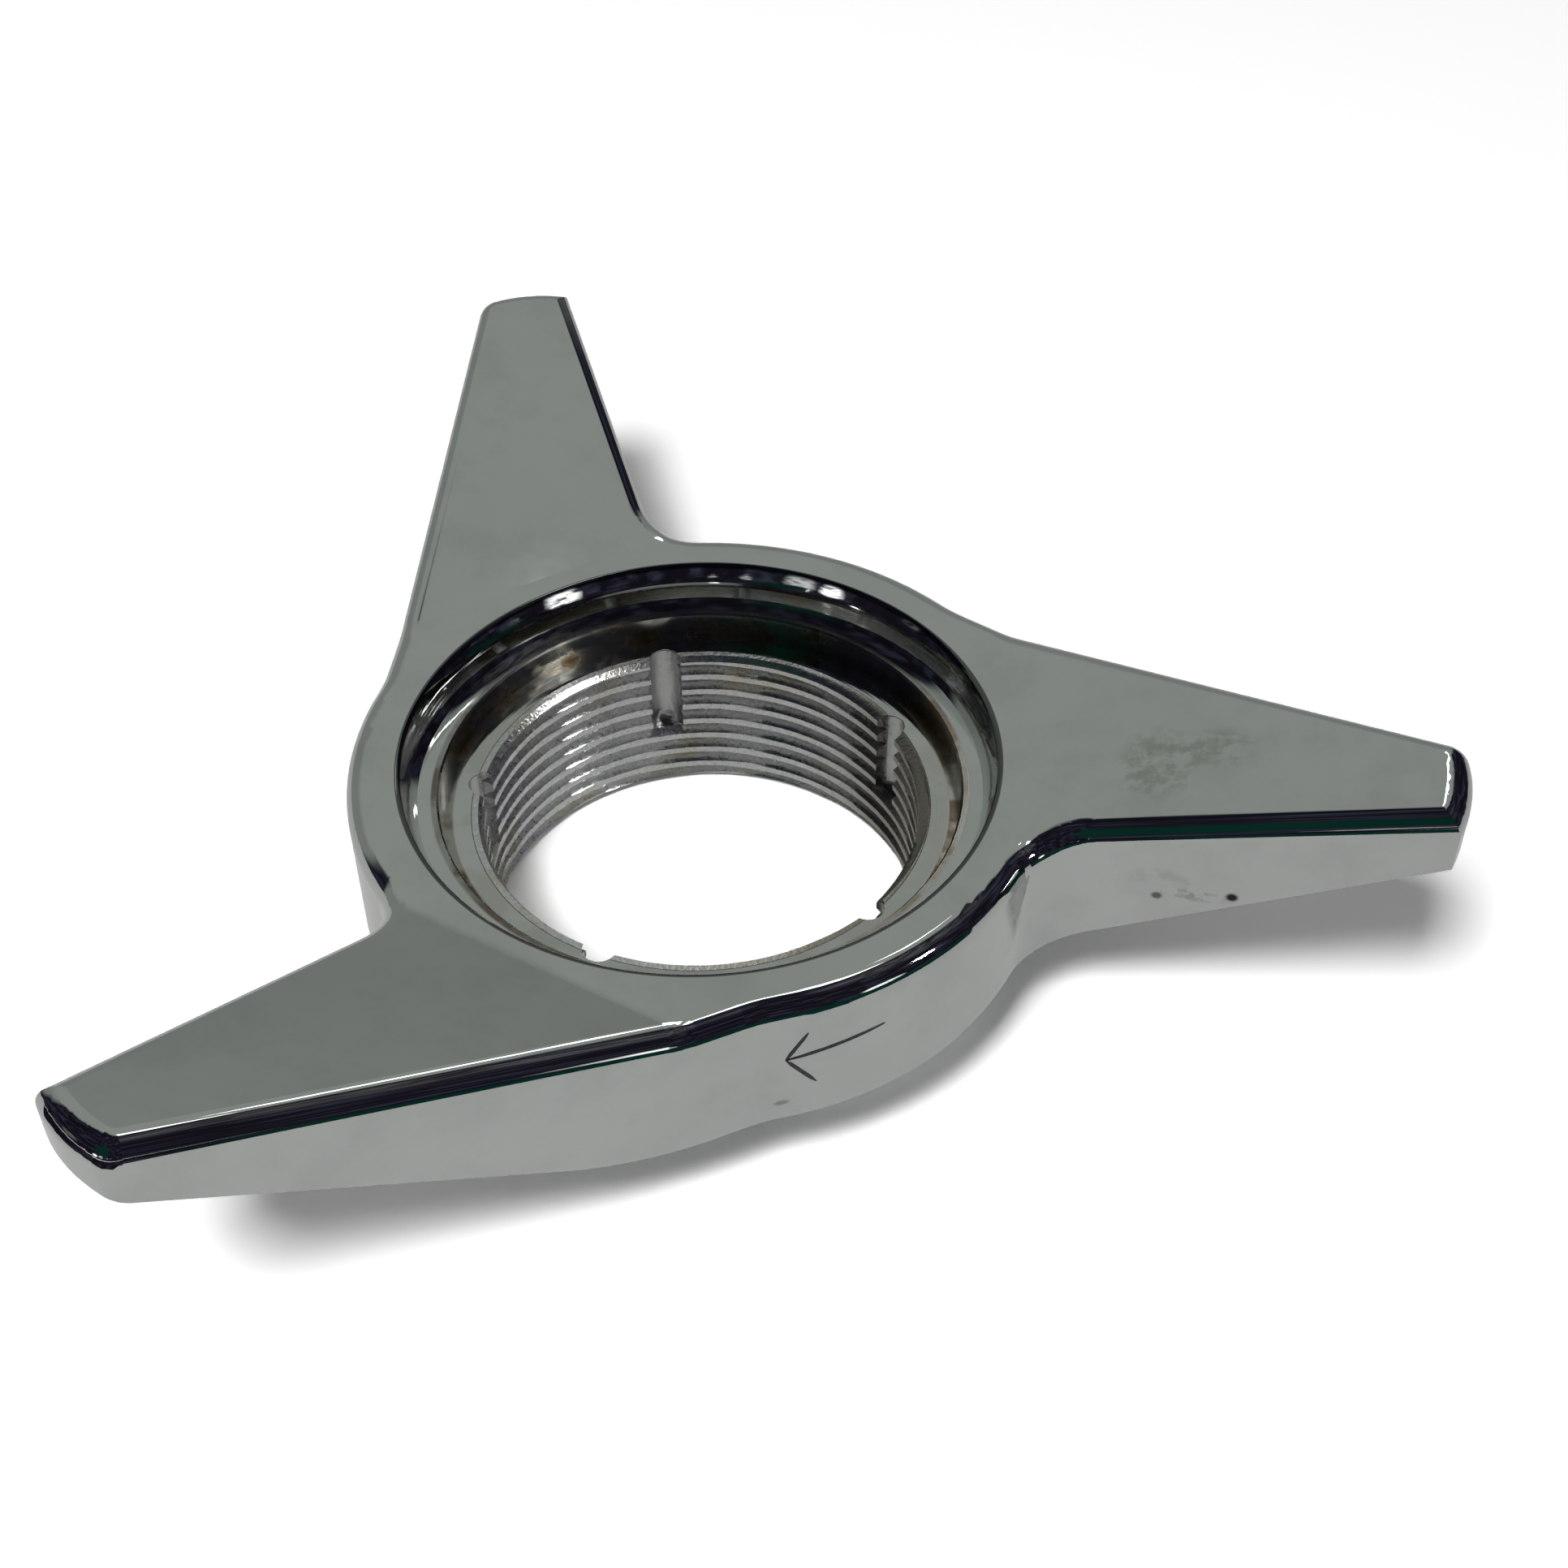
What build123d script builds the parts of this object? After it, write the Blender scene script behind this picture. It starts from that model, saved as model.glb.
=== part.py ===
from build123d import *
import math
import os

# Three-wing knock-off spinner for a wire wheel, cast and plated in one piece.
# Millimetres. The bore axis is Z, and the end of the tapered seat lies on Z = 0.
# The first wing points along +X.

# Driving dimensions of the hub
hub_radius = 34.7
hub_thickness = 15.5
wing_count = 3

# Tapered seat behind the hub
seat_height = 9.1
seat_root_radius = 29.5
seat_end_radius = 25.6
seat_edge_break = 0.4

# Stepped recess for the centre medallion
rim_radius = 29.5
rim_edge_round = 0.4
cove_depth = 4.05
cove_taper = 1.4
cove_sag = 0.22
medallion_radius = 26.0
medallion_depth = 2.75
ledge_edge_break = 0.2

# Threaded bore, as a plain wall at the root of its thread
thread_root_radius = 23.0
bore_end_chamfer = 0.5

# Blind half-round grooves down the mouth of the bore
groove_count = 5
groove_radius = 1.7
groove_sink = 0.9
groove_length = 10.2
groove_first_angle = 41.8

# Plan of a wing: straight leading side, straight trailing side and bowed tip
leading_side_inset = 0.9
leading_side_angle = 66.2
trailing_side_offset = 5.15
tip_radius = 72.2
tip_skew = 0.4
tip_bow_radius = 17.0
tip_leading_round = 2.6
trailing_root_fillet = 6.8
leading_root_fillet = 16.0

# Height of a wing: the outer face ramps up and the inner face rises faster
ramp_bearing = 12.5
ramp_margin = 0.5
ramp_blend = 1.0
ramp_angle = 14.4
inner_rise_bearing = 2.3
inner_rise_start = 33.0
inner_rise_blend = 7.0
inner_rise_angle = 25.7

# Rounded edges of the outer face and of the foot
face_edge_round = 2.1
foot_edge_round = 0.5

# Derived heights and working sizes
leading_side_reach = hub_radius - leading_side_inset
foot_height = seat_height
face_height = foot_height + hub_thickness
ledge_height = face_height - cove_depth
bore_mouth_height = ledge_height - medallion_depth
cove_foot_radius = rim_radius - cove_taper
ramp_start = rim_radius + ramp_margin + ramp_blend
cut_reach = 1.5 * tip_radius
cut_height = 2 * face_height
wing_angles = [360 / wing_count * index for index in range(wing_count)]


def polar_point(radius, angle):
    """A point of the plan at a radius and an angle in degrees."""
    return (radius * math.cos(math.radians(angle)), radius * math.sin(math.radians(angle)))


def leading_side_y(x):
    """Where the straight leading side lies in plan, at a place along the wing."""
    slope = math.radians(leading_side_angle)
    return (leading_side_reach - x * math.cos(slope)) / math.sin(slope)


def upright_plane(angle):
    """Upright plane through the bore axis, with its X at an angle of the plan."""
    bearing = math.radians(angle)
    return Plane(
        origin=(0, 0, 0),
        x_dir=(math.cos(bearing), math.sin(bearing), 0),
        z_dir=(math.sin(bearing), -math.cos(bearing), 0),
    )


def slope_point(start, height, slope, distance):
    """A point of a section at a distance up a slope that starts at a radius and a height."""
    return (start + distance * math.cos(math.radians(slope)), height + distance * math.sin(math.radians(slope)))


def plan_corners(sketch, point):
    """The corners of a sketch at a point of the first wing and of its copies."""
    copies = [Vector(*point).rotate(Axis.Z, angle) for angle in wing_angles]
    near = [v for v in sketch.vertices() if min(abs(v.center() - copy) for copy in copies) < 0.01]
    return ShapeList(near)


# Plan corners of the first wing before they are rounded
tip_trailing_corner = (tip_radius - tip_skew, -trailing_side_offset)
tip_leading_corner = (tip_radius, leading_side_y(tip_radius))
leading_touch = polar_point(leading_side_reach, leading_side_angle)
trailing_root = (math.sqrt(hub_radius**2 - trailing_side_offset**2), -trailing_side_offset)
leading_root_turn = math.degrees(math.acos(leading_side_reach / hub_radius))
leading_root = polar_point(hub_radius, leading_side_angle - leading_root_turn)

# Section above the ramp of the outer face, eased out of the flat face of the hub
ramp_ease_start = (ramp_start - ramp_blend, face_height)
ramp_ease_end = slope_point(ramp_start, face_height, ramp_angle, ramp_blend)
ramp_far_end = slope_point(ramp_start, face_height, ramp_angle, cut_reach)
above_far_end = (ramp_far_end[0], face_height + cut_height)
above_ease_start = (ramp_ease_start[0], face_height + cut_height)

# Triangle of the flat face, between the feet of the ramps
flat_face_corners = [
    polar_point(2 * ramp_ease_start[0], angle + ramp_bearing + 180 / wing_count) for angle in wing_angles
]

# Section below the inner face, eased out of the flat foot of the hub
inner_ease_start = (inner_rise_start - inner_rise_blend, foot_height)
inner_ease_end = slope_point(inner_rise_start, foot_height, inner_rise_angle, inner_rise_blend)
inner_far_end = slope_point(inner_rise_start, foot_height, inner_rise_angle, cut_reach)
below_far_end = (inner_far_end[0], 0)
below_ease_start = (inner_ease_start[0], 0)

# Plan of one wing, from the bore axis to its tip
with BuildSketch() as wing_shape:
    with BuildLine():
        Line((0, 0), leading_touch)
        Line(leading_touch, tip_leading_corner)
        RadiusArc(tip_leading_corner, tip_trailing_corner, tip_bow_radius)
        Line(tip_trailing_corner, (0, -trailing_side_offset))
        Line((0, -trailing_side_offset), (0, 0))
    make_face()

with BuildPart() as spinner:
    # Whole outline of the casting, extruded past the highest tip
    with BuildSketch(Plane.XY.offset(foot_height)) as outline:
        Circle(hub_radius)
        with PolarLocations(0, wing_count):
            add(wing_shape.sketch)
        fillet(plan_corners(outline, trailing_root), trailing_root_fillet)
        fillet(plan_corners(outline, leading_root), leading_root_fillet)
        fillet(plan_corners(outline, tip_leading_corner), tip_leading_round)
    extrude(amount=cut_height)

    # Flat face of the hub
    with BuildSketch(Plane.XY.offset(face_height)):
        Polygon(*flat_face_corners, align=None)
    extrude(amount=cut_height, mode=Mode.SUBTRACT)

    for angle in wing_angles:
        # Ramp of the outer face, which rises towards the tip
        with BuildSketch(upright_plane(angle + ramp_bearing)):
            with BuildLine():
                TangentArc(ramp_ease_start, ramp_ease_end, tangent=(1, 0))
                Polyline(ramp_ease_end, ramp_far_end, above_far_end, above_ease_start, ramp_ease_start)
            make_face()
        extrude(amount=cut_reach, both=True, mode=Mode.SUBTRACT)

        # Inner face, which rises faster, so that the wing thins towards its tip
        with BuildSketch(upright_plane(angle + inner_rise_bearing)):
            with BuildLine():
                TangentArc(inner_ease_start, inner_ease_end, tangent=(1, 0))
                Polyline(inner_ease_end, inner_far_end, below_far_end, below_ease_start, inner_ease_start)
            make_face()
        extrude(amount=cut_reach, both=True, mode=Mode.SUBTRACT)

    # Rounded edge all round the outer face, and a small one round the foot
    side_walls = spinner.faces().filter_by(lambda face: abs(face.normal_at().Z) < 0.01)
    outer_faces = spinner.faces().filter_by(lambda face: face.normal_at().Z > 0.8)
    inner_faces = spinner.faces().filter_by(lambda face: face.normal_at().Z < -0.8)
    outer_edges = outer_faces.edges() & side_walls.edges()
    inner_edges = inner_faces.edges() & side_walls.edges()
    fillet(outer_edges, face_edge_round)
    fillet(inner_edges, foot_edge_round)

    # Tapered seat that draws the wheel on to its hub
    with BuildSketch(Plane.XZ):
        with BuildLine():
            Polyline(
                (0, 0),
                (seat_end_radius - seat_edge_break, 0),
                (seat_end_radius, seat_edge_break),
                (seat_root_radius, foot_height),
                (seat_root_radius, bore_mouth_height),
                (0, bore_mouth_height),
                (0, 0),
            )
        make_face()
    revolve(axis=Axis.Z)

    # Coved and stepped recess, and the bore below it
    with BuildSketch(Plane.XZ):
        with BuildLine():
            Line((0, cut_height), (rim_radius, cut_height))
            Line((rim_radius, cut_height), (rim_radius, face_height))
            SagittaArc((rim_radius, face_height), (cove_foot_radius, ledge_height), -cove_sag)
            Line((cove_foot_radius, ledge_height), (medallion_radius + ledge_edge_break, ledge_height))
            Polyline(
                (medallion_radius + ledge_edge_break, ledge_height),
                (medallion_radius, ledge_height - ledge_edge_break),
                (medallion_radius, bore_mouth_height),
                (thread_root_radius, bore_mouth_height),
                (thread_root_radius, bore_end_chamfer),
                (thread_root_radius + bore_end_chamfer, 0),
                (0, 0),
                (0, cut_height),
            )
        make_face()
    revolve(axis=Axis.Z, mode=Mode.SUBTRACT)
    rim_edge = spinner.edges().filter_by(GeomType.CIRCLE).filter_by(
        lambda edge: abs(edge.radius - rim_radius) < 0.01 and abs(edge.center().Z - face_height) < 0.01
    )
    fillet(rim_edge, rim_edge_round)

    # Blind grooves down the mouth of the bore
    with BuildSketch(Plane.XY.offset(bore_mouth_height)):
        with PolarLocations(thread_root_radius - groove_sink, groove_count, start_angle=groove_first_angle):
            Circle(groove_radius)
    extrude(amount=-groove_length, mode=Mode.SUBTRACT)

spinner.part.label = "spinner"
os.makedirs("parts", exist_ok=True)
export_step(spinner.part, "parts/spinner.step")
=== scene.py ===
import math

import bmesh
import bpy
from mathutils import Matrix, Vector


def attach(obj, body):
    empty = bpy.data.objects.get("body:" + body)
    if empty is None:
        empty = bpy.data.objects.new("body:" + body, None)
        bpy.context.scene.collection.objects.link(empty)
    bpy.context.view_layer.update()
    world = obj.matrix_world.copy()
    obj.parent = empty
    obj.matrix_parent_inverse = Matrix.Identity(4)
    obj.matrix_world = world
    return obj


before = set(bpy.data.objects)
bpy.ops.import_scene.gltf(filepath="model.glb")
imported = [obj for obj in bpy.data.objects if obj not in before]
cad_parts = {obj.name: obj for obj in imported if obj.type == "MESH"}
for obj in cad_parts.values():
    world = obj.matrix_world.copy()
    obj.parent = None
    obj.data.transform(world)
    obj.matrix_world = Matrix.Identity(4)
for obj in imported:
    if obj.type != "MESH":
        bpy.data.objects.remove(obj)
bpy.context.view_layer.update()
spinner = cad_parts["spinner"]

# Lengths below are in millimetres, and MM turns them into the frame's metres
MM = 0.001

# Camera, at the photograph's viewing angle
CAMERA_PLACE = Vector((43.35, -160.00, 177.33)) * MM
CAMERA_RIGHT = Vector((0.9778023, 0.2094885, -0.0041578))
CAMERA_UP = Vector((-0.1414104, 0.6744257, 0.7246745))
CAMERA_LENS = 52.51
CAMERA_SHIFT_X = 0.0007
CAMERA_SHIFT_Y = -0.0001
CAMERA_CLIP_START = 1

# Hub and bore of the casting, which the thread and the struck arrow are placed by
HUB_RADIUS = 34.7
BORE_MOUTH = 17.8
GROOVE_COUNT = 5
GROOVE_RADIUS = 1.7
GROOVE_AXIS_RADIUS = 22.1
GROOVE_LENGTH = 10.2
GROOVE_FIRST_ANGLE = 41.8

# Thread inside the bore
THREAD_PITCH = 2.117
THREAD_CREST_RADIUS = 21.85
THREAD_ROOT_RADIUS = 22.94
THREAD_BACK_RADIUS = 23.05
THREAD_BOTTOM = 0.5
THREAD_CREST_SHARE = 0.40
THREAD_ROOT_SHARE = 0.10
THREAD_LEAD_IN = 0.5
THREAD_AROUND = 360
THREAD_ROWS_PER_PITCH = 12
THREAD_SHARP_ANGLE = 32

# Cutters that carry the blind grooves through the thread, and how far they stand above the bore's mouth
CUTTER_REACH = 2.0
CUTTER_SIDES = 48

# Struck arrow on the front wall: corners as angle round the hub in degrees, and height
ARROW_TAIL = (-47.7, 18.5)
ARROW_HEAD = (-63.8, 17.6)
ARROW_UPPER_BARB = (-60.3, 20.7)
ARROW_LOWER_BARB = (-59.0, 13.7)

# One stroke of the arrow: a channel between two lips, let into the wall, that narrows at both ends
STROKE_WIDTH = 0.42
STROKE_LIP = 0.05
STROKE_FLOOR = 0.012
STROKE_EDGE = 0.004
STROKE_SINK = 0.05
STROKE_END_SHARE = 0.25
STROKE_WIDENING = 4
STROKE_STEPS = 12

# Section of a stroke: places across it as shares of its width, and heights above the wall
STROKE_SECTION = [
    (-0.5, STROKE_EDGE),
    (-0.36, STROKE_LIP),
    (-0.2, STROKE_FLOOR),
    (0.2, STROKE_FLOOR),
    (0.36, STROKE_LIP),
    (0.5, STROKE_EDGE),
]

# Marks on the plating, each as centre, radii and strength of tone: two dents on the wall of the
# right wing and one on the hub's wall, painted as dark shade, then smears of wear on that wing's wall and on
# its outer face
DENT_SHADE_SPOTS = [
    ((45.96, -5.15, 19.06), (0.7, 0.9, 0.6), 0.75),
    ((52.95, -5.15, 20.24), (0.8, 0.9, 0.7), 1.0),
    ((14.94, -31.32, 11.7), (1.0, 1.0, 0.45), 0.45),
]
SMEARS = [
    ((49.3, -5.15, 19.7), (4.6, 1.2, 0.9), 1.3),
    ((46.5, -5.15, 21.2), (4.4, 1.2, 1.9), 0.45),
    ((44.4, 3.6, 28.0), (5.0, 6.0, 4.0), 0.8),
    ((50.0, 5.4, 29.0), (4.2, 3.6, 4.0), 0.7),
]

# Zones of the finish, painted shade and painted reflection: the radii and heights that bound them, or
# between which they fade in
RECESS_WITHIN = (29.3, 28.9)
RECESS_ABOVE = (17.0, 17.4)
TARNISH_BELOW = (20.4, 20.2)
STEP_WALL_RADII = (25.0, 26.6)
STEP_WALL_RADII_SOFT = 0.3
STEP_WALL_HEIGHTS = (17.6, 20.5)
STEP_WALL_HEIGHTS_SOFT = 0.25
BORE_WITHIN = (25.0, 24.6)
BORE_BELOW = (17.75, 17.6)
RIM_EDGE_RADII = (29.35, 29.80)
RIM_EDGE_SOFT = 0.12
RIM_EDGE_ABOVE = (23.9, 24.3)
THREAD_BROWN_FROM = (6, 19)

# Colours of the metal
PLATING = (0.575, 0.595, 0.58, 1)
HAZED_PLATING = (0.535, 0.555, 0.54, 1)
SMUDGED_PLATING = (0.42, 0.44, 0.425, 1)
SMEARED_PLATING = (0.31, 0.31, 0.28, 1)
TARNISH = (0.40, 0.38, 0.32, 1)
# Brown stain on the recess's step wall, dark enough to be painted shade of that wall as well
BROWN_STAIN_AND_SHADE = (0.13, 0.10, 0.065, 1)
BORE_CASTING = (0.50, 0.51, 0.50, 1)
# Painted dark reflection: near-black laid on the rim's rounded edge, where the polish would mirror dark
# surroundings
RIM_EDGE_PAINTED_DARK_REFLECTION = (0.05, 0.05, 0.055, 1)
# Painted shade of the dents, which are given no relief
DENT_PAINTED_SHADE = (0.03, 0.03, 0.03, 1)
THREAD_DARK_SAND = (0.42, 0.43, 0.43, 1)
THREAD_PALE_SAND = (0.78, 0.79, 0.78, 1)
THREAD_YELLOW = (0.52, 0.45, 0.30, 1)
THREAD_BROWN = (0.19, 0.17, 0.13, 1)
STRUCK_DARK = (0.03, 0.03, 0.032, 1)
STRUCK_PALE = (0.12, 0.12, 0.12, 1)

# How much of each colour shows where it is strongest
TARNISH_SHARE = 0.35
SMUDGE_SHARE = 0.30
RIM_EDGE_PAINTED_REFLECTION_SHARE = 0.85
SMEAR_SHARE = 0.7
THREAD_YELLOW_SHARE = 0.45
THREAD_BROWN_SHARE = 0.85
STAIN_AND_SHADE_LEAST_SHARE = 0.5

# Roughness of the polish, the bore, the thread and the struck mark, and what haze and wear add to it
POLISH_ROUGHNESS = 0.030
HAZE_ROUGHNESS = 0.045
SMEAR_ROUGHNESS = 0.06
TARNISH_ROUGHNESS = 0.05
STAIN_ROUGHNESS = 0.25
BORE_ROUGHNESS = 0.32
THREAD_ROUGHNESS = 0.18
THREAD_SAND_ROUGHNESS = 0.25
STRUCK_ROUGHNESS = 0.35

# Patches of noise: scale, noise where they begin, noise where they are full, detail and roughness
HAZE_PATCHES = (45.0, 0.45, 0.75, 3.0, 0.5)
BLOTCH_PATCHES = (160.0, 0.40, 0.60, 3.0, 0.65)
SMUDGE_PATCHES = (130.0, 0.42, 0.70, 5.0, 0.65)
SMEAR_PATCHES = (620.0, 0.40, 0.60, 4.0, 0.6)
THREAD_PATCHES = (110.0, 0.50, 0.68, 4.0, 0.6)
WALL_CLOUDS = (9.0, 0.45, 0.75, 4.0, 0.5)
FLAG_CLOUDS = (60.0, 0.45, 0.75, 4.0, 0.5)
LAMP_MOTTLE = (14.0, 0.36, 0.60, 4.0, 0.5)

# Fine grain: scale, detail and roughness of its noise, and its height where it is relief
RIPPLE_GRAIN = (260.0, 1.0, 0.5)
RIPPLE_HEIGHT = 0.012
TURNED_GRAIN = (4200.0, 2.0, 0.5)
TURNED_HEIGHT = 0.004
CASTING_GRAIN = (1500.0, 3.0, 0.5)
CASTING_HEIGHT = 0.12
SAND_GRAIN = (2600.0, 2.0, 0.6)
SAND_HEIGHT = 0.055
STRUCK_GRAIN = (2500.0, 2.0, 0.5)

# Floor: its own pale paper, and the lift to white that the camera sees and the plating sees a part of
FLOOR_SIZE = 2400
FLOOR_DROP = 0.02
FLOOR_PALE = (0.60, 0.605, 0.595, 1)
FLOOR_LIFT = (1.18, 1.165, 1.18, 1)
FLOOR_MIRRORED_LIFT = 0.15

# White of the world beyond the floor, and the level of its soft fill light
WHITE = (1, 1, 1, 1)
FILL_LEVEL = 0.13

# Unlit studio that only the plating mirrors
STUDIO_RADIUS = 2500
STUDIO_SEGMENTS = 96
FAR_WALL = (0.37, 0.39, 0.37, 1)
FAR_WALL_FOOT = (0.27, 0.285, 0.275, 1)
FAR_WALL_FOOT_HEIGHT = (0.42, 0.62)
DARK_WALL = (0.010, 0.008, 0.014, 1)
CLOUD_ON_WALL = (0.045, 0.050, 0.085, 1)
GREEN_GLOW = (0.004, 0.035, 0.026, 1)
LAMP_MOTTLE_STRETCH = (1, 1, 5)

# Places on the studio's walls: azimuth, elevation, half angle and half width of the soft edge, in
# degrees, and for a soft lamp its level
GREEN_ON_WALL = (-112, 34, 17, 8)
PALE_SCREENS = [
    (118, 14, 43, 3),
    (138, 8, 34, 3),
    (98, 54, 17, 3),
]
SOFT_LAMPS = [
    (-126, 7, 3.5, 2.0, 3.2),
    (-114, 9, 4.0, 3.0, 0.9),
    (-94, 9, 1.8, 1.0, 1.4),
    (-82, 9, 1.2, 0.8, 1.0),
    (-27, 7, 5.0, 3.0, 3.2),
    (-160, 8, 4.0, 3.0, 0.25),
    (25, 62, 10.0, 10.0, 0.10),
]

# Dark flag round the near side, with a green glow along and up it
FLAG_RADIUS = 118
FLAG_FOOT = 0.5
FLAG_HEIGHT = 28.5
FLAG_FIRST_ANGLE = -150
FLAG_LAST_ANGLE = -5
FLAG_STEPS = 48
FLAG_GREEN_ALONG = (10, 50)
FLAG_GREEN_BELOW = (30, 18)

# Lamps: name, azimuth and elevation in degrees, distance, width, height, watts, and whether the
# plating mirrors it instead of being lit by it
LAMPS = [
    ("key_lamp", -103, 60, 1500, 360, 360, 14.0, False),
    ("far_lamp", 89.4, 46.5, 2000, 100, 660, 0.9, True),
    ("top_lamp", 84, 66.5, 2000, 260, 220, 0.6, True),
    ("side_lamp", -9, 33, 600, 50, 50, 1.7, True),
]


def link(piece):
    """Puts an object into the scene."""
    bpy.context.scene.collection.objects.link(piece)
    return piece


def polar(radius, angle, height=0.0):
    """A point in metres, from a radius, an angle in degrees and a height in millimetres."""
    turn = math.radians(angle)
    return Vector((radius * math.cos(turn), radius * math.sin(turn), height)) * MM


def toward(azimuth, elevation):
    """Unit vector towards an azimuth from +X and an elevation, in degrees."""
    turn = math.radians(azimuth)
    rise = math.radians(elevation)
    return Vector((math.cos(rise) * math.cos(turn), math.cos(rise) * math.sin(turn), math.sin(rise)))


class Nodes:
    """Short calls for building a node tree."""

    def __init__(self, tree):
        self.tree = tree
        tree.nodes.clear()

    def add(self, kind, inputs=None, **settings):
        """A node, with its settings and its inputs, which are values or other nodes' outputs."""
        node = self.tree.nodes.new(kind)
        for key, value in settings.items():
            setattr(node, key, value)
        for socket, value in (inputs or {}).items():
            if isinstance(value, bpy.types.NodeSocket):
                self.tree.links.new(value, node.inputs[socket])
            else:
                node.inputs[socket].default_value = value
        return node

    def math(self, operation, first, second=0.0, third=0.0):
        """The result of a sum on numbers."""
        return self.add("ShaderNodeMath", {0: first, 1: second, 2: third}, operation=operation).outputs[0]

    def times(self, first, second):
        """The product of two numbers."""
        return self.math("MULTIPLY", first, second)

    def vector(self, operation, first, second=(0, 0, 0), output="Vector"):
        """The result of a sum on vectors, which is a number where output says Value."""
        node = self.add("ShaderNodeVectorMath", {0: first, 1: second}, operation=operation)
        return node.outputs[output]

    def axes(self, place):
        """The three parts of a vector."""
        return self.add("ShaderNodeSeparateXYZ", {0: place}).outputs

    def object_place(self):
        """The place on the object, in its own metres."""
        return self.add("ShaderNodeTexCoord").outputs["Object"]

    def ramp(self, value, start, end):
        """0 at start and 1 at end, smooth between; start may be the larger."""
        inputs = {0: value, 1: start, 2: end, 3: 0.0, 4: 1.0}
        return self.add("ShaderNodeMapRange", inputs, interpolation_type="SMOOTHSTEP").outputs[0]

    def fade(self, length, limits):
        """0 at the first limit and 1 at the second, both in millimetres; the first may be the larger."""
        return self.ramp(length, limits[0] * MM, limits[1] * MM)

    def band(self, length, limits, soft):
        """1 between two limits, fading outside them over soft, all in millimetres."""
        low, high = limits
        return self.times(self.fade(length, (low - soft, low)), self.fade(length, (high + soft, high)))

    def cone(self, direction, azimuth, elevation, half_angle, soft):
        """1 where a direction lies within an angle of another one, with an edge soft to both sides."""
        cosine = self.vector("DOT_PRODUCT", direction, toward(azimuth, elevation), output="Value")
        outside = math.cos(math.radians(half_angle + soft))
        inside = math.cos(math.radians(max(half_angle - soft, 0)))
        return self.ramp(cosine, outside, inside)

    def spot(self, place, centre, radii, full_share=0.4):
        """1 in the middle of an egg-shaped spot, 0 beyond its radii; lengths in millimetres."""
        away = self.vector("SUBTRACT", place, Vector(centre) * MM)
        scaled = self.vector("MULTIPLY", away, Vector([1 / (radius * MM) for radius in radii]))
        return self.ramp(self.vector("LENGTH", scaled, output="Value"), 1.0, full_share)

    def spots(self, place, marks):
        """Sum of egg-shaped spots, each given as centre, radii and strength."""
        total = 0.0
        for centre, radii, strength in marks:
            total = self.math("MULTIPLY_ADD", self.spot(place, centre, radii), strength, total)
        return total

    def mix(self, factor, first, second):
        """The first colour where the factor is 0, the second where it is 1."""
        return self.add("ShaderNodeMix", {0: factor, 6: first, 7: second}, data_type="RGBA").outputs[2]

    def noise(self, place, scale, detail, roughness):
        """Noise from 0 to 1 with features about 1 / scale long."""
        inputs = {"Vector": place, "Scale": scale, "Detail": detail, "Roughness": roughness}
        return self.add("ShaderNodeTexNoise", inputs).outputs[0]

    def patches(self, place, scale, begin, full, detail, roughness):
        """Soft patches of noise, 0 below begin and 1 above full."""
        return self.ramp(self.noise(place, scale, detail, roughness), begin, full)

    def bump(self, relief, height, normal=None):
        """A normal tilted by relief of a height in millimetres, over another normal where one is given."""
        inputs = {"Height": relief, "Distance": height * MM, "Strength": 1.0}
        if normal is not None:
            inputs["Normal"] = normal
        return self.add("ShaderNodeBump", inputs).outputs[0]

    def surface(self, shader):
        """Ends a material's tree with its shader."""
        self.add("ShaderNodeOutputMaterial", {"Surface": shader.outputs[0]})

    def metal(self, colour, roughness, normal=None):
        """Ends a material's tree with bare metal."""
        inputs = {"Base Color": colour, "Metallic": 1.0, "Roughness": roughness}
        if normal is not None:
            inputs["Normal"] = normal
        self.surface(self.add("ShaderNodeBsdfPrincipled", inputs))


def new_material(name):
    """An empty material and the short calls for its tree."""
    material = bpy.data.materials.new(name)
    material.use_nodes = True
    return material, Nodes(material.node_tree)


def make_camera():
    """The one camera of the scene."""
    data = bpy.data.cameras.new("camera")
    data.lens = CAMERA_LENS
    data.shift_x = CAMERA_SHIFT_X
    data.shift_y = CAMERA_SHIFT_Y
    data.clip_start = CAMERA_CLIP_START * MM
    camera = link(bpy.data.objects.new("camera", data))
    back = CAMERA_RIGHT.cross(CAMERA_UP)
    turn = Matrix((CAMERA_RIGHT, CAMERA_UP, back)).transposed().to_4x4()
    camera.matrix_world = Matrix.Translation(CAMERA_PLACE) @ turn
    bpy.context.scene.camera = camera


def make_floor():
    """Plain pale paper. The camera sees it lifted to white, with the object's shadow left in it."""
    half = FLOOR_SIZE / 2 * MM
    low = -FLOOR_DROP * MM
    data = bpy.data.meshes.new("floor")
    corners = [(-half, -half, low), (half, -half, low), (half, half, low), (-half, half, low)]
    data.from_pydata(corners, [], [(0, 1, 2, 3)])
    floor = link(bpy.data.objects.new("floor", data))
    material, nodes = new_material("floor_paper")
    path = nodes.add("ShaderNodeLightPath")
    plain = nodes.add("ShaderNodeBsdfDiffuse", {"Color": FLOOR_PALE})
    lift = nodes.add("ShaderNodeBsdfDiffuse", {"Color": FLOOR_LIFT})
    mirrored = nodes.math("ADD", path.outputs["Is Glossy Ray"], path.outputs["Is Transmission Ray"])
    share = nodes.math("MULTIPLY_ADD", mirrored, FLOOR_MIRRORED_LIFT, path.outputs["Is Camera Ray"])
    lifted = nodes.add("ShaderNodeMixShader", {0: share, 2: lift.outputs[0]})
    both = nodes.add("ShaderNodeAddShader", {0: plain.outputs[0], 1: lifted.outputs[0]})
    nodes.surface(both)
    data.materials.append(material)


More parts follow.
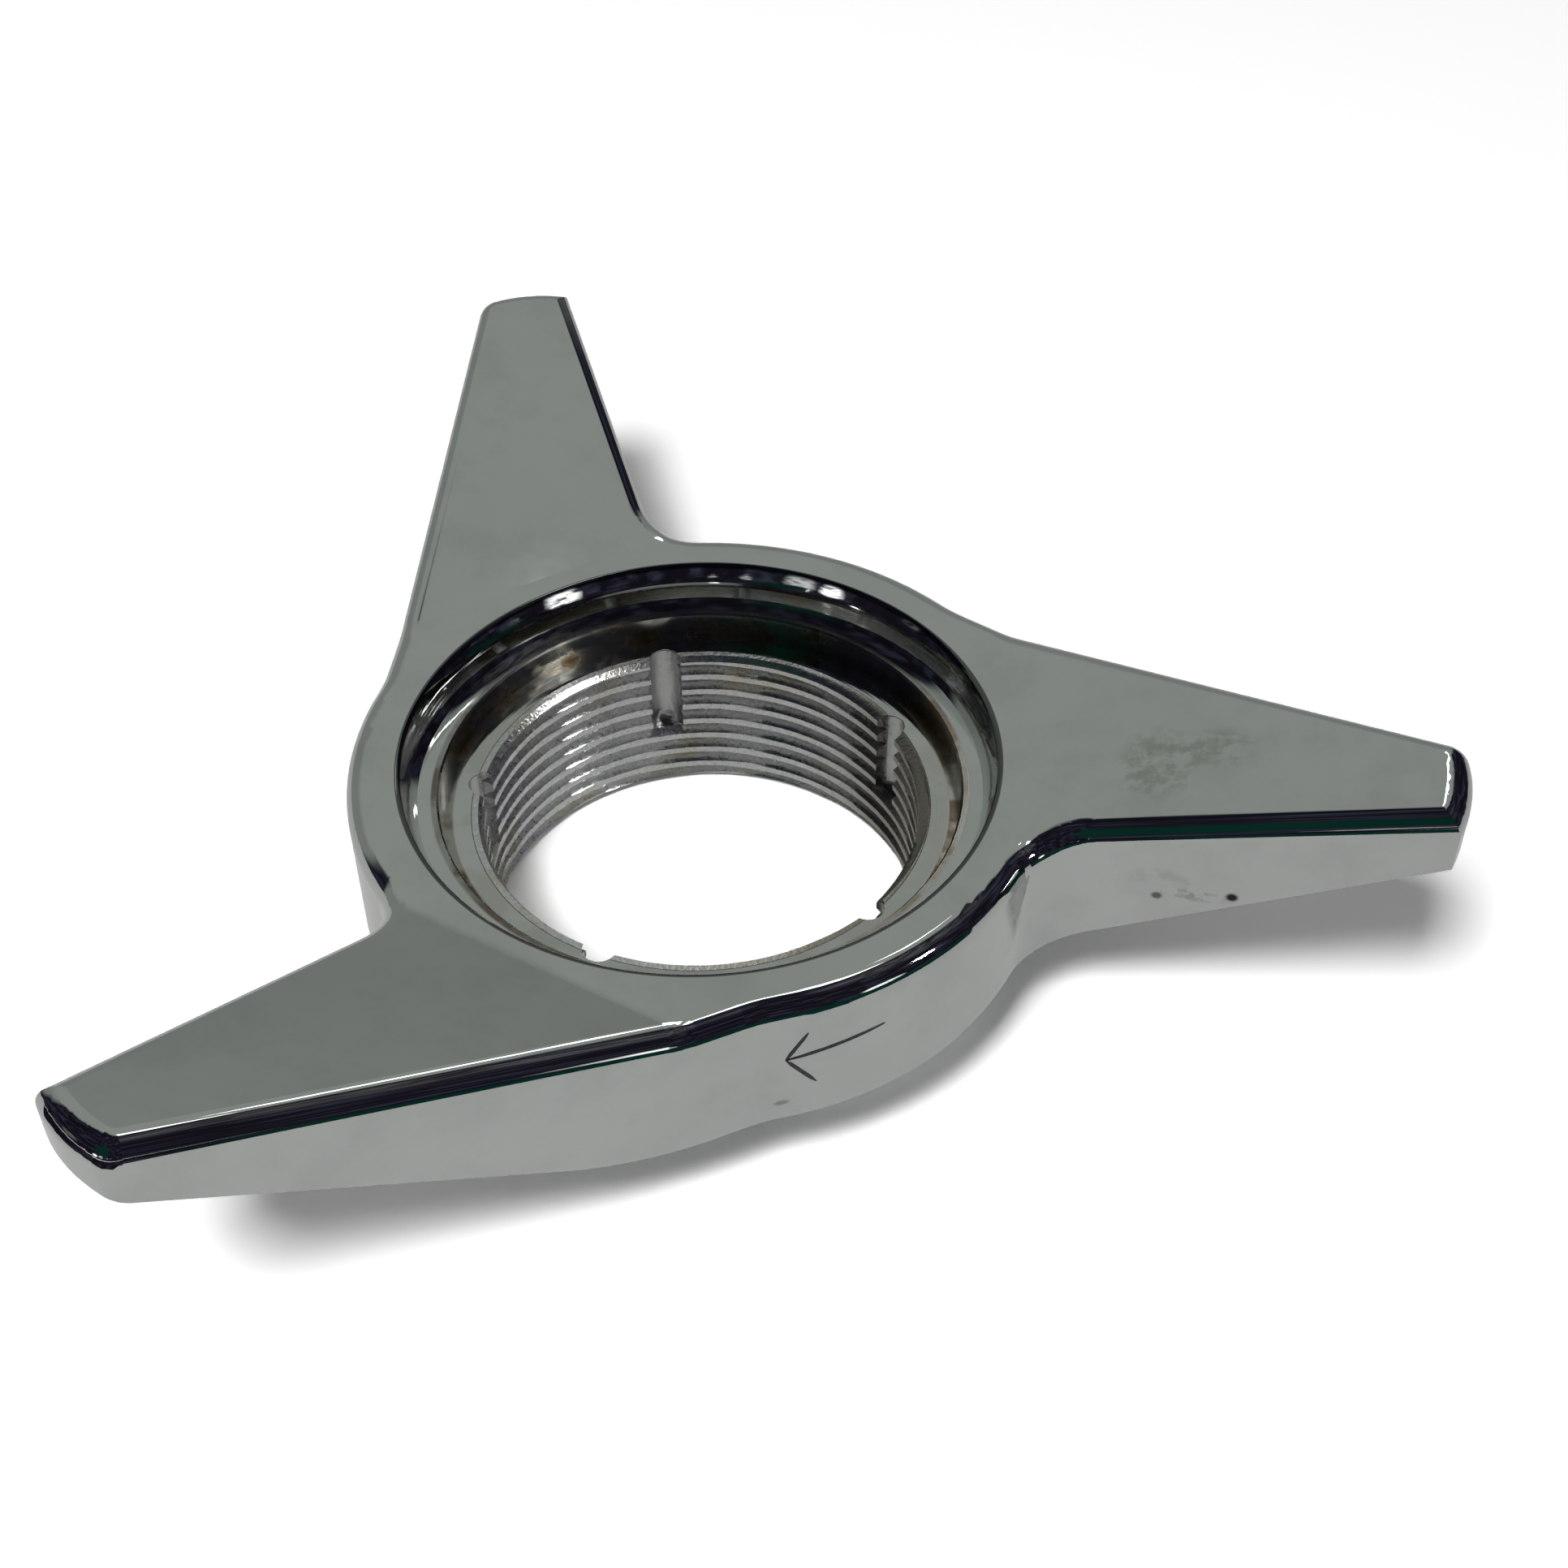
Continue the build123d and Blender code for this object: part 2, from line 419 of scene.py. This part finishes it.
def make_world():
    """White beyond the floor, as the camera and bare reflections see it, and a soft fill light."""
    world = bpy.data.worlds.new("studio")
    world.use_nodes = True
    bpy.context.scene.world = world
    nodes = Nodes(world.node_tree)
    path = nodes.add("ShaderNodeLightPath")
    seen = nodes.math("ADD", path.outputs["Is Camera Ray"], path.outputs["Is Glossy Ray"])
    seen = nodes.math("ADD", seen, path.outputs["Is Transmission Ray"])
    white = nodes.add("ShaderNodeBackground", {"Color": WHITE, "Strength": 1.0})
    fill = nodes.add("ShaderNodeBackground", {"Color": WHITE, "Strength": FILL_LEVEL})
    mixed = nodes.add("ShaderNodeMixShader", {0: seen, 1: fill.outputs[0], 2: white.outputs[0]})
    nodes.add("ShaderNodeOutputWorld", {"Surface": mixed.outputs[0]})


def only_mirrored(card):
    """Stages a card of the studio so that it shows in the plating alone."""
    card.visible_camera = False
    card.visible_diffuse = False
    card.visible_shadow = False
    card.visible_transmission = False


def make_studio_walls():
    """Dark walls round the object with a pale screen, a green glow and soft lamps on them."""
    data = bpy.data.meshes.new("studio_walls")
    shape = bmesh.new()
    bmesh.ops.create_uvsphere(
        shape, u_segments=STUDIO_SEGMENTS, v_segments=STUDIO_SEGMENTS // 2, radius=STUDIO_RADIUS * MM
    )
    shape.to_mesh(data)
    shape.free()
    walls = link(bpy.data.objects.new("studio_walls", data))
    material, nodes = new_material("studio_walls")
    direction = nodes.vector("NORMALIZE", nodes.object_place())

    screen = 0.0
    for place in PALE_SCREENS:
        screen = nodes.math("MAXIMUM", screen, nodes.cone(direction, *place))
    height = nodes.axes(direction)[2]
    pale = nodes.mix(nodes.ramp(height, *FAR_WALL_FOOT_HEIGHT), FAR_WALL_FOOT, FAR_WALL)
    dark = nodes.mix(nodes.patches(direction, *WALL_CLOUDS), DARK_WALL, CLOUD_ON_WALL)
    dark = nodes.mix(nodes.cone(direction, *GREEN_ON_WALL), dark, GREEN_GLOW)

    level = 0.0
    for *place, strength in SOFT_LAMPS:
        level = nodes.math("MULTIPLY_ADD", nodes.cone(direction, *place), strength, level)
    stretched = nodes.vector("MULTIPLY", direction, LAMP_MOTTLE_STRETCH)
    level = nodes.times(level, nodes.patches(stretched, *LAMP_MOTTLE))

    plain = nodes.add("ShaderNodeEmission", {0: nodes.mix(screen, dark, pale), 1: 1.0}).outputs[0]
    glow = nodes.add("ShaderNodeEmission", {0: WHITE, 1: level}).outputs[0]
    nodes.surface(nodes.add("ShaderNodeAddShader", {0: plain, 1: glow}))
    data.materials.append(material)
    only_mirrored(walls)


def make_flag():
    """Dark flag that stands round the near side of the object, where only the plating mirrors it."""
    data = bpy.data.meshes.new("dark_flag")
    steps = range(FLAG_STEPS + 1)
    angles = [FLAG_FIRST_ANGLE + (FLAG_LAST_ANGLE - FLAG_FIRST_ANGLE) * step / FLAG_STEPS for step in steps]
    foot = [polar(FLAG_RADIUS, angle, FLAG_FOOT) for angle in angles]
    top = [polar(FLAG_RADIUS, angle, FLAG_FOOT + FLAG_HEIGHT) for angle in angles]
    count = len(angles)
    faces = [(step, step + 1, count + step + 1, count + step) for step in range(FLAG_STEPS)]
    data.from_pydata(foot + top, [], faces)
    flag = link(bpy.data.objects.new("dark_flag", data))
    material, nodes = new_material("dark_flag")
    place = nodes.object_place()
    axes = nodes.axes(place)
    green = nodes.times(nodes.fade(axes[0], FLAG_GREEN_ALONG), nodes.fade(axes[2], FLAG_GREEN_BELOW))
    dark = nodes.mix(nodes.patches(place, *FLAG_CLOUDS), DARK_WALL, CLOUD_ON_WALL)
    nodes.surface(nodes.add("ShaderNodeEmission", {0: nodes.mix(green, dark, GREEN_GLOW), 1: 1.0}))
    data.materials.append(material)
    only_mirrored(flag)


def make_lamp(name, azimuth, elevation, distance, width, height, watts, mirrored):
    """A soft lamp that looks at the object, and that the plating mirrors or is lit by."""
    data = bpy.data.lights.new(name, "AREA")
    data.shape = "RECTANGLE"
    data.size = width * MM
    data.size_y = height * MM
    data.energy = watts
    lamp = link(bpy.data.objects.new(name, data))
    place = toward(azimuth, elevation) * (distance * MM)
    lamp.location = place
    lamp.rotation_euler = (-place).to_track_quat("-Z", "Y").to_euler()
    lamp.visible_camera = False
    lamp.visible_glossy = mirrored
    lamp.visible_diffuse = not mirrored


def make_plating():
    """Plating: hazy polish outside, turned rings and tarnish in the recess, grainy casting in the bore,
    painted shade on the dents and step wall and a painted dark reflection on the rim edge.
    """
    material, nodes = new_material("plated_casting")
    place = nodes.object_place()
    x, y, z = nodes.axes(place)
    radius = nodes.math("SQRT", nodes.math("ADD", nodes.times(x, x), nodes.times(y, y)))

    haze = nodes.patches(place, *HAZE_PATCHES)
    blotch = nodes.patches(place, *BLOTCH_PATCHES)
    smudge = nodes.patches(place, *SMUDGE_PATCHES)
    recess = nodes.times(nodes.fade(radius, RECESS_WITHIN), nodes.fade(z, RECESS_ABOVE))
    step_wall = nodes.times(
        nodes.band(radius, STEP_WALL_RADII, STEP_WALL_RADII_SOFT),
        nodes.band(z, STEP_WALL_HEIGHTS, STEP_WALL_HEIGHTS_SOFT),
    )
    bore = nodes.times(nodes.fade(radius, BORE_WITHIN), nodes.fade(z, BORE_BELOW))
    # Painted dark reflection: a band round the rim's rounded edge
    rim_edge_painted_reflection = nodes.times(nodes.band(radius, RIM_EDGE_RADII, RIM_EDGE_SOFT), nodes.fade(z, RIM_EDGE_ABOVE))
    blotched = nodes.math("MULTIPLY_ADD", blotch, 1 - STAIN_AND_SHADE_LEAST_SHARE, STAIN_AND_SHADE_LEAST_SHARE)
    # Brown stain and painted shade on the step wall, patchy
    stain_and_shade = nodes.times(step_wall, blotched)
    tarnish = nodes.times(nodes.times(recess, nodes.fade(z, TARNISH_BELOW)), blotch)
    # Painted shade: dark spots where the dents are
    dent_shade = nodes.spots(place, DENT_SHADE_SPOTS)
    smears = nodes.times(nodes.spots(place, SMEARS), nodes.patches(place, *SMEAR_PATCHES))

    colour = nodes.mix(haze, PLATING, HAZED_PLATING)
    colour = nodes.mix(nodes.times(tarnish, TARNISH_SHARE), colour, TARNISH)
    # Brown stain and painted shade of the step wall
    colour = nodes.mix(stain_and_shade, colour, BROWN_STAIN_AND_SHADE)
    colour = nodes.mix(bore, colour, BORE_CASTING)
    colour = nodes.mix(nodes.times(smudge, SMUDGE_SHARE), colour, SMUDGED_PLATING)
    # Painted dark reflection laid on the rim's edge
    colour = nodes.mix(nodes.times(rim_edge_painted_reflection, RIM_EDGE_PAINTED_REFLECTION_SHARE), colour, RIM_EDGE_PAINTED_DARK_REFLECTION)
    colour = nodes.mix(nodes.times(smears, SMEAR_SHARE), colour, SMEARED_PLATING)
    # Painted shade of the dents
    colour = nodes.mix(dent_shade, colour, DENT_PAINTED_SHADE)

    rough = nodes.math("MULTIPLY_ADD", haze, HAZE_ROUGHNESS, POLISH_ROUGHNESS)
    rough = nodes.math("MULTIPLY_ADD", smears, SMEAR_ROUGHNESS, rough)
    rough = nodes.math("MULTIPLY_ADD", tarnish, TARNISH_ROUGHNESS, rough)
    rough = nodes.math("MULTIPLY_ADD", stain_and_shade, STAIN_ROUGHNESS, rough)
    rough = nodes.math("MAXIMUM", rough, nodes.times(bore, BORE_ROUGHNESS))

    turned_place = nodes.add("ShaderNodeCombineXYZ", {0: radius, 1: z}).outputs[0]
    normal = nodes.bump(nodes.noise(place, *RIPPLE_GRAIN), RIPPLE_HEIGHT)
    normal = nodes.bump(nodes.times(nodes.noise(turned_place, *TURNED_GRAIN), recess), TURNED_HEIGHT, normal)
    normal = nodes.bump(nodes.times(nodes.noise(place, *CASTING_GRAIN), bore), CASTING_HEIGHT, normal)
    nodes.metal(colour, rough, normal)
    return material


def make_thread_finish():
    """Sand-grained plating that never got polished, yellowed in places and browner to the right."""
    material, nodes = new_material("cast_thread")
    place = nodes.object_place()
    sand = nodes.noise(place, *SAND_GRAIN)
    yellow = nodes.times(nodes.patches(place, *THREAD_PATCHES), THREAD_YELLOW_SHARE)
    brown = nodes.times(nodes.fade(nodes.axes(place)[0], THREAD_BROWN_FROM), THREAD_BROWN_SHARE)
    colour = nodes.mix(sand, THREAD_DARK_SAND, THREAD_PALE_SAND)
    colour = nodes.mix(yellow, colour, THREAD_YELLOW)
    colour = nodes.mix(brown, colour, THREAD_BROWN)
    rough = nodes.math("MULTIPLY_ADD", sand, THREAD_SAND_ROUGHNESS, THREAD_ROUGHNESS)
    nodes.metal(colour, rough, nodes.bump(sand, SAND_HEIGHT))
    return material


def make_struck_finish():
    """Dull grey of a struck mark."""
    material, nodes = new_material("struck_mark")
    speck = nodes.noise(nodes.object_place(), *STRUCK_GRAIN)
    nodes.metal(nodes.mix(speck, STRUCK_DARK, STRUCK_PALE), STRUCK_ROUGHNESS)
    return material


def thread_radius(angle, height):
    """Radius of the thread's surface at an angle in degrees and a height."""
    phase = ((BORE_MOUTH - height) / THREAD_PITCH + angle / 360) % 1.0
    flank = (1 - THREAD_CREST_SHARE - THREAD_ROOT_SHARE) / 2
    if phase < THREAD_ROOT_SHARE:
        rise = 0.0
    elif phase < THREAD_ROOT_SHARE + flank:
        rise = (phase - THREAD_ROOT_SHARE) / flank
    elif phase < 1 - flank:
        rise = 1.0
    else:
        rise = (1 - phase) / flank
    radius = THREAD_ROOT_RADIUS + (THREAD_CREST_RADIUS - THREAD_ROOT_RADIUS) * rise
    lead = max(THREAD_LEAD_IN - (BORE_MOUTH - height), THREAD_LEAD_IN - (height - THREAD_BOTTOM), 0.0)
    return max(radius, THREAD_CREST_RADIUS + lead)


def make_thread_sleeve():
    """Internal thread as one closed sleeve on the bore's wall."""
    rows = round((BORE_MOUTH - THREAD_BOTTOM) / THREAD_PITCH * THREAD_ROWS_PER_PITCH)
    angles = [360 * step / THREAD_AROUND for step in range(THREAD_AROUND)]
    shape = bmesh.new()
    rings = []
    for row in range(rows + 1):
        height = BORE_MOUTH - (BORE_MOUTH - THREAD_BOTTOM) * row / rows
        rings.append([shape.verts.new(polar(thread_radius(a, height), a, height)) for a in angles])
    for height in (THREAD_BOTTOM, BORE_MOUTH):
        rings.append([shape.verts.new(polar(THREAD_BACK_RADIUS, angle, height)) for angle in angles])
    for upper, lower in zip(rings, rings[1:] + rings[:1]):
        for step in range(THREAD_AROUND):
            after = (step + 1) % THREAD_AROUND
            shape.faces.new((upper[step], upper[after], lower[after], lower[step]))
    bmesh.ops.recalc_face_normals(shape, faces=shape.faces)
    data = bpy.data.meshes.new("bore_thread")
    shape.to_mesh(data)
    shape.free()
    return link(bpy.data.objects.new("bore_thread", data))


def make_groove_cutter():
    """Round bars that stand where the blind grooves of the bore's mouth are."""
    data = bpy.data.meshes.new("groove_cutter")
    shape = bmesh.new()
    for index in range(GROOVE_COUNT):
        angle = GROOVE_FIRST_ANGLE + 360 / GROOVE_COUNT * index
        middle = polar(GROOVE_AXIS_RADIUS, angle, BORE_MOUTH + (CUTTER_REACH - GROOVE_LENGTH) / 2)
        bmesh.ops.create_cone(
            shape,
            cap_ends=True,
            segments=CUTTER_SIDES,
            radius1=GROOVE_RADIUS * MM,
            radius2=GROOVE_RADIUS * MM,
            depth=(GROOVE_LENGTH + CUTTER_REACH) * MM,
            matrix=Matrix.Translation(middle),
        )
    shape.to_mesh(data)
    shape.free()
    return link(bpy.data.objects.new("groove_cutter", data))


def make_thread(finish):
    """Thread inside the bore, with the blind grooves cut through it."""
    thread = make_thread_sleeve()
    cutter = make_groove_cutter()
    cut = thread.modifiers.new("grooves", "BOOLEAN")
    cut.operation = "DIFFERENCE"
    cut.solver = "EXACT"
    cut.object = cutter
    bpy.context.view_layer.update()
    evaluated = thread.evaluated_get(bpy.context.evaluated_depsgraph_get())
    cut_data = bpy.data.meshes.new_from_object(evaluated)
    thread.modifiers.clear()
    thread.data = cut_data
    bpy.data.objects.remove(cutter)
    cut_data.materials.clear()
    cut_data.materials.append(finish)
    cut_data.polygons.foreach_set("use_smooth", [True] * len(cut_data.polygons))
    cut_data.set_sharp_from_angle(angle=math.radians(THREAD_SHARP_ANGLE))
    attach(thread, "root")


def stroke(shape, start, end):
    """One struck line on the hub's wall: a narrow channel between two fine lips, pointed at both ends."""
    degree = math.radians(1) * HUB_RADIUS
    along = Vector(end) - Vector(start)
    length = math.hypot(along.x * degree, along.y)
    side = Vector((-along.y / length / degree, along.x * degree / length))
    lines = []
    for step in range(STROKE_STEPS + 1):
        share = step / STROKE_STEPS
        width_share = STROKE_END_SHARE + STROKE_WIDENING * min(share, 1 - share)
        width = STROKE_WIDTH * min(1.0, width_share)
        middle = Vector(start) + along * share
        line = []
        for across, lift in STROKE_SECTION:
            spot = middle + side * across * width
            line.append(shape.verts.new(polar(HUB_RADIUS + lift, spot.x, spot.y)))
        for across, _ in reversed(STROKE_SECTION):
            spot = middle + side * across * width
            line.append(shape.verts.new(polar(HUB_RADIUS - STROKE_SINK, spot.x, spot.y)))
        lines.append(line)
    count = len(lines[0])
    for first, second in zip(lines, lines[1:]):
        for step in range(count):
            after = (step + 1) % count
            shape.faces.new((first[step], first[after], second[after], second[step]))
    shape.faces.new(lines[0])
    shape.faces.new(list(reversed(lines[-1])))


def make_arrow(finish):
    """Arrow struck into the front wall, which shows the way to turn the spinner."""
    shape = bmesh.new()
    stroke(shape, ARROW_TAIL, ARROW_HEAD)
    stroke(shape, ARROW_HEAD, ARROW_UPPER_BARB)
    stroke(shape, ARROW_HEAD, ARROW_LOWER_BARB)
    bmesh.ops.recalc_face_normals(shape, faces=shape.faces)
    data = bpy.data.meshes.new("struck_arrow")
    shape.to_mesh(data)
    shape.free()
    arrow = link(bpy.data.objects.new("struck_arrow", data))
    data.materials.append(finish)
    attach(arrow, "root")


make_camera()
make_world()
make_floor()
make_studio_walls()
make_flag()
for lamp_values in LAMPS:
    make_lamp(*lamp_values)

spinner.data.materials.clear()
spinner.data.materials.append(make_plating())
make_thread(make_thread_finish())
make_arrow(make_struck_finish())

bpy.context.scene.view_settings.view_transform = "Standard"
